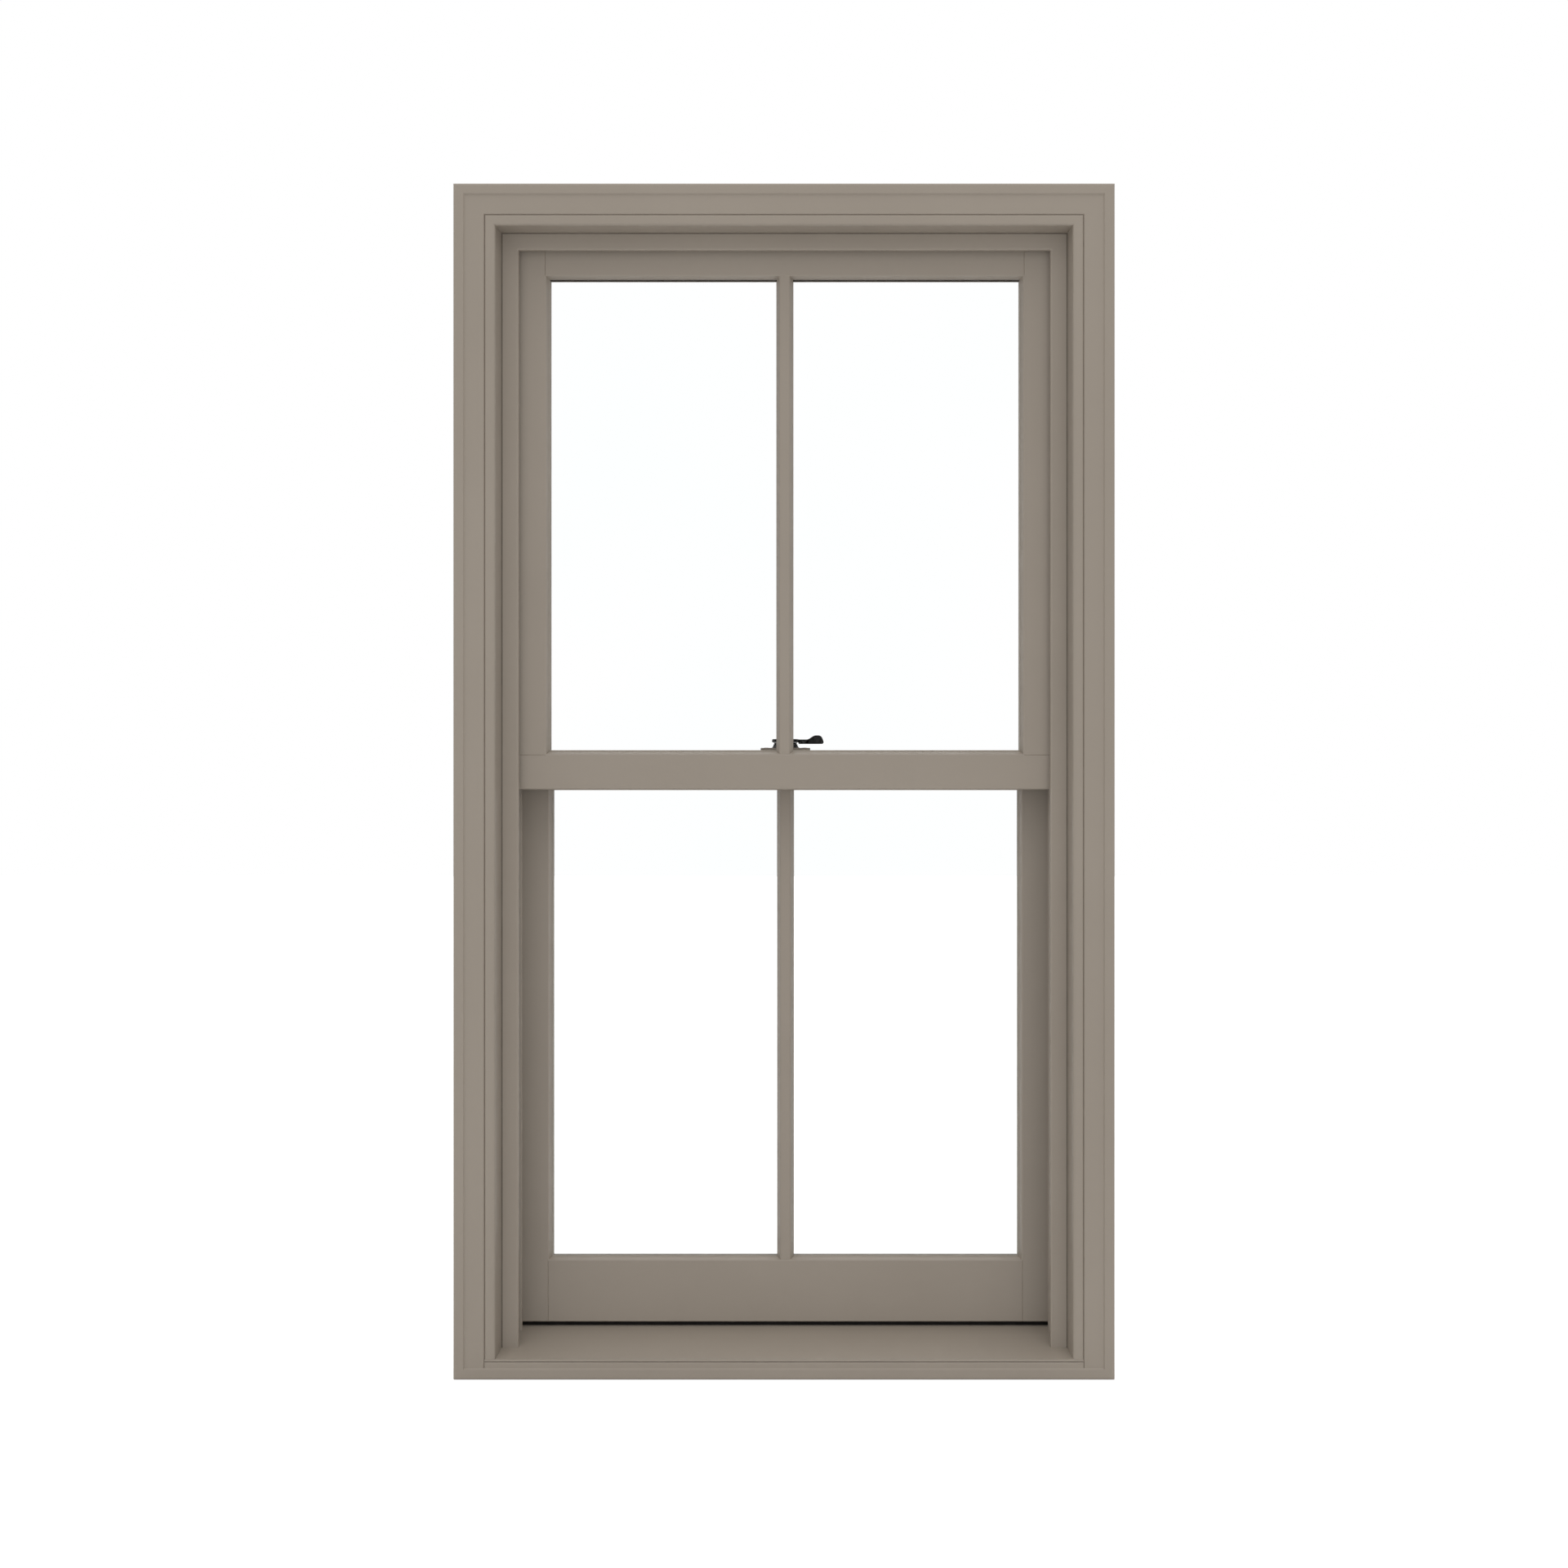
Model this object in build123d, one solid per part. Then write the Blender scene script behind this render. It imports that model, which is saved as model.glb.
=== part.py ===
"""Double hung window: two sashes of two lites each, sliding in a cased frame.

+X is to the right seen from outside, +Y goes through the wall into the room, +Z is up.
The wall's outer face is the plane Y = 0. The origin is the middle of the seat where
the sill casing bears on the wall.
"""

import os
from math import radians, sqrt, tan

from build123d import *

# Overall size, over the casing.
OVERALL_WIDTH = 810.0
OVERALL_HEIGHT = 1465.0

# Casing: a flat board with a raised outer band, rebated behind where it laps the frame.
CASING_WIDTH = 38.0
CASING_FLAT = 32.0
CASING_BAND = 14.0
CASING_BAND_RISE = 2.0
CASING_LAP = 13.0
CASING_REBATE = 2.0
CASING_ROUND = 2.5
SILL_CASING_HEIGHT = 22.0
SILL_CASING_LAP = 7.0

# Frame: head and jambs of one profile, on a sloped sill.
JAMB_THICKNESS = 19.0
NOSING_WIDTH = 13.0
NOSING_ROUND = 4.0
REVEAL_DEPTH = 39.0
SILL_NOSE = 2.3
SILL_SLOPE = 14.0

# Liners with running grooves, and the stops that make the two sash tracks.
LINER_THICKNESS = 12.0
GROOVE_WIDTH = 12.0
GROOVE_FLOOR = 3.0
STOP_COVER = 21.3
STOP_ROUND = 3.0
OUTER_STOP_DEPTH = 12.0
PARTING_STOP_DEPTH = 8.0
INSIDE_STOP_DEPTH = 13.0
SILL_STOP_HEIGHT = 24.0

# Sashes, with eased edges and a fine groove where stile and rail meet.
SASH_THICKNESS = 35.0
SASH_EASE = 1.2
JOINT_GROOVE = 0.5
SASH_GAP = 5.0
SILL_GAP = 6.2
STILE_WIDTH = 53.0
TOP_RAIL = 50.0
CHECK_RAIL = 48.0
BOTTOM_RAIL = 81.6
LIP_GAP = 5.0
LIP_END_GAP = 7.0
SHOE_HEIGHT = 40.0
SHOE_INSET = 6.0
RUNNING_GAP = 0.3

# Glazing: a sealed unit of two panes in a groove, bevelled in front and square behind.
BEAD_WIDTH = 5.4
BEAD_DEPTH = 10.0
BEAD_EASE_WIDTH = 1.2
BEAD_EASE_DEPTH = 0.7
GLASS_UNIT = 16.0
PANE = 3.0
GLASS_COVER = 9.0
GLASS_EDGE_GAP = 1.5
GLASS_FACE_GAP = 0.3
SPACER_HEIGHT = 6.0
SPACER_SETBACK = 0.5
MUNTIN_WIDTH = 21.0
MUNTIN_FACE = 13.0
MUNTIN_SETBACK = 1.0

# Seal under the bottom rail.
SEAL_WIDTH = 8.0
SEAL_SETBACK = 6.0

# Sash lock on the lower check rail, and its keeper on the upper one.
LOCK_X = 0.0
LOCK_BASE_LENGTH = 62.0
LOCK_BASE_WIDTH = 36.0
LOCK_BASE_THICKNESS = 4.0
LOCK_BASE_ROUND = 9.0
PEDESTAL_FOOT_RADIUS = 16.9
PEDESTAL_WAIST_RADIUS = 13.6
PEDESTAL_TOP_RADIUS = 15.4
PEDESTAL_HEIGHT = 6.7
PIN_RADIUS = 4.0
PIN_CLEARANCE = 0.05
HUB_RADIUS = 16.9
HUB_THICKNESS = 4.1
HUB_EASE = 1.0
LEVER_REACH = 48.9
ARM_WIDTH = 9.0
ARM_DROP = 2.0
NECK_REACH = 28.5
NECK_WIDTH = 7.6
NECK_ROUND = 8.0
KNOB_START = 36.0
KNOB_TAPER = 3.9
KNOB_WIDTH = 12.4
KNOB_HEIGHT = 10.7
KNOB_ROUND = 5.5
TIP_ROUND = 2.5
KEEPER_LENGTH = 19.0
KEEPER_PLATE = 2.5
KEEPER_HOOK = 9.0
KEEPER_WALL = 3.0

# Places that follow from the sizes above. Distances "in" are from the casing's outer edge.
HALF_WIDTH = OVERALL_WIDTH / 2
BOTTOM = (SILL_CASING_LAP - SILL_CASING_HEIGHT) / 2
TOP = BOTTOM + OVERALL_HEIGHT
FRAME_IN = CASING_WIDTH - CASING_LAP
LINER_BACK_IN = FRAME_IN + JAMB_THICKNESS
LINER_FACE_IN = LINER_BACK_IN + LINER_THICKNESS
STOP_EDGE_IN = LINER_FACE_IN + STOP_COVER
OUTER_STOP_Y = REVEAL_DEPTH - CASING_FLAT
UPPER_Y = OUTER_STOP_Y + OUTER_STOP_DEPTH + SASH_GAP
PARTING_STOP_Y = UPPER_Y + SASH_THICKNESS + SASH_GAP
LOWER_Y = PARTING_STOP_Y + PARTING_STOP_DEPTH + SASH_GAP
INSIDE_STOP_Y = LOWER_Y + SASH_THICKNESS + SASH_GAP
FRAME_BACK_Y = INSIDE_STOP_Y + INSIDE_STOP_DEPTH
SILL_CASING_TOP = BOTTOM + SILL_CASING_HEIGHT
SILL_BASE = SILL_CASING_TOP - SILL_CASING_LAP
SASH_HALF = HALF_WIDTH - LINER_FACE_IN - SASH_GAP
GLASS_HALF = SASH_HALF - STILE_WIDTH


def slope_height(y):
    """Height of the sill's sloped top at a depth."""
    return SILL_CASING_TOP + SILL_NOSE + (y + CASING_FLAT) * tan(radians(SILL_SLOPE))


# The check rails meet where both sashes show the same height of glass, lip to lip.
SASH_TOP = TOP - LINER_FACE_IN - SASH_GAP
SASH_BOTTOM = slope_height(LOWER_Y) + SILL_GAP
GLASS_TOP = SASH_TOP - TOP_RAIL
GLASS_BOTTOM = SASH_BOTTOM + BOTTOM_RAIL
MEETING_TOP = (GLASS_TOP + GLASS_BOTTOM + CHECK_RAIL) / 2
MEETING_BOTTOM = MEETING_TOP - CHECK_RAIL
UPPER_LIP_Y = (UPPER_Y + SASH_THICKNESS + LOWER_Y - LIP_GAP) / 2
LOWER_LIP_Y = UPPER_LIP_Y + LIP_GAP
LIP_HALF = HALF_WIDTH - STOP_EDGE_IN - LIP_END_GAP
SPARE = 2 * CASING_WIDTH


def outline(points):
    """A closed face through (a, b, round) points."""
    face = Polygon(*[(a, b) for a, b, _ in points], align=None)
    for a, b, size in points:
        if size:
            corner = face.vertices().sort_by_distance((a, b, 0))[0]
            face = fillet(corner, size)
    return face


def through_y(points, y_start, y_end):
    """A prism along Y of (x, z) points."""
    face = Plane.XZ.offset(-y_start) * Polygon(*points, align=None)
    return extrude(face, y_end - y_start, dir=(0, 1, 0))


def through_x(points, half):
    """A prism along X of (y, z, round) points, as wide to the left as to the right."""
    return extrude(Plane.YZ.offset(-half) * outline(points), 2 * half, dir=(1, 0, 0))


def block(half, y_start, y_end, z_start, z_end):
    """A box centred on the window's middle line."""
    return through_y([(-half, z_start), (half, z_start), (half, z_end), (-half, z_end)], y_start, y_end)


def left_bar(profile):
    """The left upright of an (in, y, round) profile, mitred at the head."""
    face = outline([(distance - HALF_WIDTH, y, size) for distance, y, size in profile])
    bar = extrude(Plane.XY.offset(BOTTOM) * face, OVERALL_HEIGHT, dir=(0, 0, 1))
    mitre = [
        (-HALF_WIDTH - SPARE, BOTTOM - SPARE),
        (0, BOTTOM - SPARE),
        (0, TOP - HALF_WIDTH),
        (-HALF_WIDTH - SPARE, TOP + SPARE),
    ]
    return bar & through_y(mitre, -SPARE, FRAME_BACK_Y + SPARE)


def head_bar(profile):
    """The head of an (in, y, round) profile, mitred at both ends."""
    bar = through_x([(y, TOP - distance, size) for distance, y, size in profile], HALF_WIDTH)
    mitre = [
        (-HALF_WIDTH - SPARE, TOP + SPARE),
        (0, TOP - HALF_WIDTH),
        (HALF_WIDTH + SPARE, TOP + SPARE),
    ]
    return bar & through_y(mitre, -SPARE, FRAME_BACK_Y + SPARE)


def below_slope(rise):
    """Everything under the sill's slope, raised by a gap."""
    y_start, y_end = -CASING_FLAT - SPARE, FRAME_BACK_Y + SPARE
    points = [
        (y_start, BOTTOM - SPARE, 0),
        (y_end, BOTTOM - SPARE, 0),
        (y_end, slope_height(y_end) + rise, 0),
        (y_start, slope_height(y_start) + rise, 0),
    ]
    return through_x(points, HALF_WIDTH + SPARE)


def mirrored(part):
    """The right-hand twin of a left-hand piece."""
    return mirror(part, Plane.YZ)


def make_casing():
    """Head and leg casing mitred at the head, and a sill casing whose band turns the lower corners."""
    front = -CASING_FLAT - CASING_BAND_RISE
    flank = [
        (0, 0, 0),
        (0, front, CASING_ROUND),
        (CASING_BAND - CASING_BAND_RISE, front, 0),
        (CASING_BAND, -CASING_FLAT, 0),
    ]
    profile = flank + [
        (CASING_WIDTH, -CASING_FLAT, CASING_ROUND),
        (CASING_WIDTH, -CASING_REBATE, 0),
        (FRAME_IN, -CASING_REBATE, 0),
        (FRAME_IN, 0, 0),
    ]
    sill_profile = flank + [
        (SILL_CASING_HEIGHT, -CASING_FLAT, CASING_ROUND),
        (SILL_CASING_HEIGHT, -CASING_REBATE, 0),
        (SILL_CASING_HEIGHT - SILL_CASING_LAP, -CASING_REBATE, 0),
        (SILL_CASING_HEIGHT - SILL_CASING_LAP, 0, 0),
    ]
    band_corner = (HALF_WIDTH - CASING_BAND, BOTTOM + CASING_BAND)
    leg_foot = (HALF_WIDTH - CASING_WIDTH, BOTTOM + CASING_BAND)
    leg_top = (HALF_WIDTH - CASING_WIDTH, SILL_CASING_TOP)
    half_ground = [(HALF_WIDTH, BOTTOM), band_corner, leg_foot, leg_top]
    ground = half_ground + [(-x, z) for x, z in reversed(half_ground)]
    sill_ground = through_y(ground, -SPARE, SPARE)
    sill_casing = through_x([(y, BOTTOM + rise, size) for rise, y, size in sill_profile], HALF_WIDTH)
    left = left_bar(profile) - sill_ground
    return {
        "head_casing": head_bar(profile),
        "left_casing": left,
        "right_casing": mirrored(left),
        "sill_casing": sill_casing & sill_ground,
    }


def make_frame():
    """Head and jambs with a rounded nosing and a tapered reveal, standing on the sloped sill."""
    profile = [
        (FRAME_IN, -CASING_REBATE, 0),
        (CASING_WIDTH, -CASING_REBATE, 0),
        (CASING_WIDTH, -CASING_FLAT, CASING_ROUND),
        (CASING_WIDTH + NOSING_WIDTH, -CASING_FLAT, NOSING_ROUND),
        (LINER_FACE_IN, OUTER_STOP_Y, 0),
        (LINER_BACK_IN, OUTER_STOP_Y, 0),
        (LINER_BACK_IN, FRAME_BACK_Y, 0),
        (FRAME_IN, FRAME_BACK_Y, 0),
    ]
    left = left_bar(profile) - below_slope(0)
    sill_section = [
        (-CASING_FLAT, SILL_CASING_TOP, 0),
        (-CASING_FLAT, slope_height(-CASING_FLAT), SILL_NOSE / 2),
        (FRAME_BACK_Y, slope_height(FRAME_BACK_Y), 0),
        (FRAME_BACK_Y, SILL_BASE, 0),
        (-CASING_REBATE, SILL_BASE, 0),
        (-CASING_REBATE, SILL_CASING_TOP, 0),
    ]
    sill = through_x(sill_section, HALF_WIDTH - FRAME_IN)
    nose = block(HALF_WIDTH - CASING_WIDTH, -CASING_FLAT, -CASING_REBATE, BOTTOM, TOP)
    body = block(HALF_WIDTH - FRAME_IN, -CASING_REBATE, FRAME_BACK_Y, BOTTOM, TOP)
    return {
        "head_jamb": head_bar(profile),
        "left_jamb": left,
        "right_jamb": mirrored(left),
        "sill": sill & (nose + body),
    }


def make_set(name, profile, side_profile=None):
    """A head piece and two uprights of one profile, the uprights cut to the sill's slope."""
    left = left_bar(side_profile or profile) - below_slope(0)
    return {
        f"head_{name}": head_bar(profile),
        f"left_{name}": left,
        f"right_{name}": mirrored(left),
    }


def stop_profile(back_in, y, depth):
    """A square stop with its two showing edges eased."""
    return [
        (back_in, y, 0),
        (STOP_EDGE_IN, y, STOP_ROUND),
        (STOP_EDGE_IN, y + depth, STOP_ROUND),
        (back_in, y + depth, 0),
    ]


def make_tracks():
    """Liners, and the outer, parting and inside stops that hold the two sashes in line."""
    liner_y = OUTER_STOP_Y + OUTER_STOP_DEPTH
    plain = [
        (LINER_BACK_IN, liner_y, 0),
        (LINER_FACE_IN, liner_y, 0),
        (LINER_FACE_IN, INSIDE_STOP_Y, 0),
        (LINER_BACK_IN, INSIDE_STOP_Y, 0),
    ]
    grooves = []
    floor_in = LINER_BACK_IN + GROOVE_FLOOR
    for sash_y in (UPPER_Y, LOWER_Y):
        middle = sash_y + SASH_THICKNESS / 2
        y_start, y_end = middle - GROOVE_WIDTH / 2, middle + GROOVE_WIDTH / 2
        grooves.append((LINER_FACE_IN, y_start, 0))
        grooves.append((floor_in, y_start, 0))
        grooves.append((floor_in, y_end, 0))
        grooves.append((LINER_FACE_IN, y_end, 0))
    grooved = plain[:2] + grooves + plain[2:]
    sill_stop_top = slope_height(INSIDE_STOP_Y) + SILL_STOP_HEIGHT
    sill_stop_section = [
        (INSIDE_STOP_Y, BOTTOM, 0),
        (FRAME_BACK_Y, BOTTOM, 0),
        (FRAME_BACK_Y, sill_stop_top, STOP_ROUND),
        (INSIDE_STOP_Y, sill_stop_top, STOP_ROUND),
    ]
    sill_stop = through_x(sill_stop_section, HALF_WIDTH - STOP_EDGE_IN)
    return {
        **make_set("outer_stop", stop_profile(LINER_BACK_IN, OUTER_STOP_Y, OUTER_STOP_DEPTH)),
        **make_set("liner", plain, grooved),
        **make_set("parting_stop", stop_profile(LINER_FACE_IN, PARTING_STOP_Y, PARTING_STOP_DEPTH)),
        **make_set("inside_stop", stop_profile(LINER_BACK_IN, INSIDE_STOP_Y, INSIDE_STOP_DEPTH)),
        "sill_inside_stop": sill_stop - below_slope(0),
    }


def mouth(sections, glass_low, glass_high):
    """The open space on one side of the glass, through (y, spread) sections around the sight line."""
    rings = []
    for y, spread in sections:
        half = GLASS_HALF + spread
        low, high = glass_low - spread, glass_high + spread
        points = [(-half, low), (half, low), (half, high), (-half, high)]
        rings.append(Plane.XZ.offset(-y) * Polygon(*points, align=None))
    return loft(rings, ruled=True)


def sash_ring(y, low, high, glass_low, glass_high, front_mouth, back_mouth):
    """A whole sash frame before it is parted into stiles and rails."""
    back = y + SASH_THICKNESS
    glass_front = y + BEAD_DEPTH
    glass_back = glass_front + GLASS_UNIT
    groove = GLASS_COVER + GLASS_EDGE_GAP
    ring = block(SASH_HALF, y, back, low, high)
    ring = chamfer(ring.edges().filter_by(Axis.Y, reverse=True), SASH_EASE)
    ring -= block(GLASS_HALF, glass_front, glass_back, glass_low, glass_high)
    ring -= front_mouth
    ring -= back_mouth
    ring -= block(
        GLASS_HALF + groove,
        glass_front - GLASS_FACE_GAP,
        glass_back + GLASS_FACE_GAP,
        glass_low - groove,
        glass_high + groove,
    )
    return ring


def joint_grooves(y, through_corner, plain_z, plain_corner):
    """Fine V grooves along the square joints of a sash frame, on both its faces."""
    face = GLASS_HALF + BEAD_WIDTH
    low, high = min(plain_z, plain_corner), max(plain_z, plain_corner)
    side = JOINT_GROOVE * sqrt(2)
    grooves = []
    for face_y in (y, y + SASH_THICKNESS):
        level = [
            (face_y - JOINT_GROOVE, through_corner, 0),
            (face_y, through_corner + JOINT_GROOVE, 0),
            (face_y + JOINT_GROOVE, through_corner, 0),
            (face_y, through_corner - JOINT_GROOVE, 0),
        ]
        middle = block(face, face_y - SPARE, face_y + SPARE, through_corner - SPARE, through_corner + SPARE)
        grooves += (through_x(level, SASH_HALF) - middle).solids()
        upright = Pos(-face, face_y) * Rot(0, 0, 45) * Rectangle(side, side)
        groove = extrude(Plane.XY.offset(low) * upright, high - low, dir=(0, 0, 1))
        grooves += [groove, mirrored(groove)]
    return grooves


def part_ring(ring, y, through_z, through_corner, plain_z, plain_corner):
    """Parts a sash frame into a through rail, two stiles that land on it, and a rail between them.

    The faces meet square and the beads meet on a mitre.
    """
    for groove in joint_grooves(y, through_corner, plain_z, plain_corner):
        ring -= groove
    up = 1 if plain_z > through_z else -1
    edge = SASH_HALF + SPARE
    face = GLASS_HALF + BEAD_WIDTH
    inner = face - 2 * BEAD_WIDTH
    through_mitre = through_corner + up * 2 * BEAD_WIDTH
    plain_mitre = plain_corner - up * 2 * BEAD_WIDTH
    through_end, plain_end = through_z - up * SPARE, plain_z + up * SPARE
    stile = [
        (-edge, through_corner),
        (-face, through_corner),
        (-inner, through_mitre),
        (-inner, plain_mitre),
        (-face, plain_corner),
        (-face, plain_end),
        (-edge, plain_end),
    ]
    half_through = [
        (-edge, through_end),
        (-edge, through_corner),
        (-face, through_corner),
        (-inner, through_mitre),
    ]
    half_plain = [(-face, plain_end), (-face, plain_corner), (-inner, plain_mitre)]
    y_start, y_end = y - SPARE, y + SASH_THICKNESS + SPARE
    pieces = []
    for half in (half_through, half_plain):
        region = half + [(-x, z) for x, z in reversed(half)]
        pieces.append(ring & through_y(region, y_start, y_end))
    left = ring & through_y(stile, y_start, y_end)
    return pieces[0], left, mirrored(left), pieces[1]


def make_panes(y, glass_low, glass_high):
    """The two panes of a sealed unit and the spacer bars between their edges."""
    outer_y = y + BEAD_DEPTH
    inner_y = outer_y + GLASS_UNIT - PANE
    half = GLASS_HALF + GLASS_COVER
    low, high = glass_low - GLASS_COVER, glass_high + GLASS_COVER
    panes = [block(half, pane_y, pane_y + PANE, low, high) for pane_y in (outer_y, inner_y)]
    near, far = SPACER_SETBACK, SPACER_SETBACK + SPACER_HEIGHT
    spacer = block(GLASS_HALF + far, outer_y + PANE, inner_y, glass_low - far, glass_high + far)
    spacer -= block(GLASS_HALF + near, outer_y + PANE, inner_y, glass_low - near, glass_high + near)
    return Compound(panes), spacer


def make_muntin(y_glass, y_face, space):
    """A bar over the middle of the glass, bevelled to its face and coped to the space it stands in."""
    shoulder_y = y_face + (BEAD_EASE_DEPTH if y_glass > y_face else -BEAD_EASE_DEPTH)
    half = [
        (MUNTIN_WIDTH / 2, y_glass),
        (MUNTIN_FACE / 2, shoulder_y),
        (MUNTIN_FACE / 2 - BEAD_EASE_WIDTH, y_face),
    ]
    points = half + [(-x, y) for x, y in reversed(half)]
    face = Plane.XY.offset(BOTTOM) * Polygon(*points, align=None)
    return extrude(face, OVERALL_HEIGHT, dir=(0, 0, 1)) & space


def make_shoes(y, heights):
    """Guide shoes on the sash's edges, running in the liner's groove."""
    middle = y + SASH_THICKNESS / 2
    half = GROOVE_WIDTH / 2 - RUNNING_GAP
    reach = HALF_WIDTH - LINER_BACK_IN - GROOVE_FLOOR - RUNNING_GAP
    shoes = []
    for height in heights:
        across = block(reach, middle - half, middle + half, height, height + SHOE_HEIGHT)
        across -= block(SASH_HALF, middle - half, middle + half, height, height + SHOE_HEIGHT)
        shoes += across.solids()
    return Compound(shoes)


def make_sash(name, y, low, high, glass_low, glass_high, through_low):
    """All the pieces of one sash, with its check rail as the through rail."""
    back = y + SASH_THICKNESS
    glass_front = y + BEAD_DEPTH
    glass_back = glass_front + GLASS_UNIT
    bevel = (
        (y, BEAD_WIDTH),
        (y + BEAD_EASE_DEPTH, BEAD_WIDTH - BEAD_EASE_WIDTH),
        (glass_front, 0),
    )
    square = ((back, SASH_EASE), (back - SASH_EASE, 0), (glass_back, 0))
    front_mouth = mouth(bevel, glass_low, glass_high)
    back_mouth = mouth(square, glass_low, glass_high)
    ring = sash_ring(y, low, high, glass_low, glass_high, front_mouth, back_mouth)
    low_corner, high_corner = glass_low - BEAD_WIDTH, glass_high + BEAD_WIDTH
    if through_low:
        ends = (low, low_corner, high, high_corner)
    else:
        ring -= below_slope(SILL_GAP)
        ends = (high, high_corner, low, low_corner)
    check_rail, left, right, plain_rail = part_ring(ring, y, *ends)
    outer = make_muntin(glass_front, y + MUNTIN_SETBACK, front_mouth)
    inner = make_muntin(glass_back, back - MUNTIN_SETBACK, back_mouth)
    panes, spacer = make_panes(y, glass_low, glass_high)
    shoe_low = low + SHOE_INSET + (0 if through_low else SASH_THICKNESS * tan(radians(SILL_SLOPE)))
    shoe_high = high - SHOE_INSET - SHOE_HEIGHT
    return check_rail, plain_rail, {
        f"{name}_left_stile": left,
        f"{name}_right_stile": right,
        f"{name}_glass": panes,
        f"{name}_spacer": spacer,
        f"{name}_outer_muntin": outer,
        f"{name}_inner_muntin": inner,
        f"{name}_sash_shoes": make_shoes(y, (shoe_low, shoe_high)),
    }


def make_upper_sash():
    """The outer sash, with a lip along its check rail that carries the lock's keeper."""
    check_rail, top_rail, pieces = make_sash(
        "upper", UPPER_Y, MEETING_BOTTOM, SASH_TOP, MEETING_TOP, GLASS_TOP, True
    )
    back = UPPER_Y + SASH_THICKNESS
    lip_top = MEETING_TOP - BEAD_WIDTH
    check_rail += block(LIP_HALF, back - SASH_EASE, UPPER_LIP_Y, MEETING_BOTTOM, lip_top)
    wall_y = UPPER_LIP_Y - KEEPER_WALL
    hook = [
        (back, lip_top, 0),
        (UPPER_LIP_Y, lip_top, 0),
        (UPPER_LIP_Y, lip_top + KEEPER_HOOK, 0),
        (wall_y, lip_top + KEEPER_HOOK, KEEPER_WALL / 3),
        (wall_y, lip_top + KEEPER_PLATE, 0),
        (back, lip_top + KEEPER_PLATE, 0),
    ]
    keeper = Pos(LOCK_X, 0, 0) * through_x(hook, KEEPER_LENGTH / 2)
    return {
        "upper_top_rail": top_rail,
        "upper_check_rail": check_rail,
        **pieces,
        "lock_keeper": keeper,
    }


def make_lower_sash():
    """The inner sash, with a lip along its check rail and a seal under its bottom rail."""
    check_rail, bottom_rail, pieces = make_sash(
        "lower", LOWER_Y, SASH_BOTTOM, MEETING_TOP, GLASS_BOTTOM, MEETING_BOTTOM, False
    )
    lip_low = MEETING_BOTTOM + BEAD_WIDTH
    check_rail += block(LIP_HALF, LOWER_LIP_Y, LOWER_Y + SASH_EASE, lip_low, MEETING_TOP)
    y_start = LOWER_Y + SEAL_SETBACK
    y_end = y_start + SEAL_WIDTH
    foot = [
        (y_start, slope_height(y_start) + RUNNING_GAP, 0),
        (y_end, slope_height(y_end) + RUNNING_GAP, 0),
        (y_end, slope_height(y_end) + SILL_GAP, 0),
        (y_start, slope_height(y_start) + SILL_GAP, 0),
    ]
    return {
        "lower_check_rail": check_rail,
        "lower_bottom_rail": bottom_rail,
        **pieces,
        "sill_seal": through_x(foot, SASH_HALF),
    }


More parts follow.
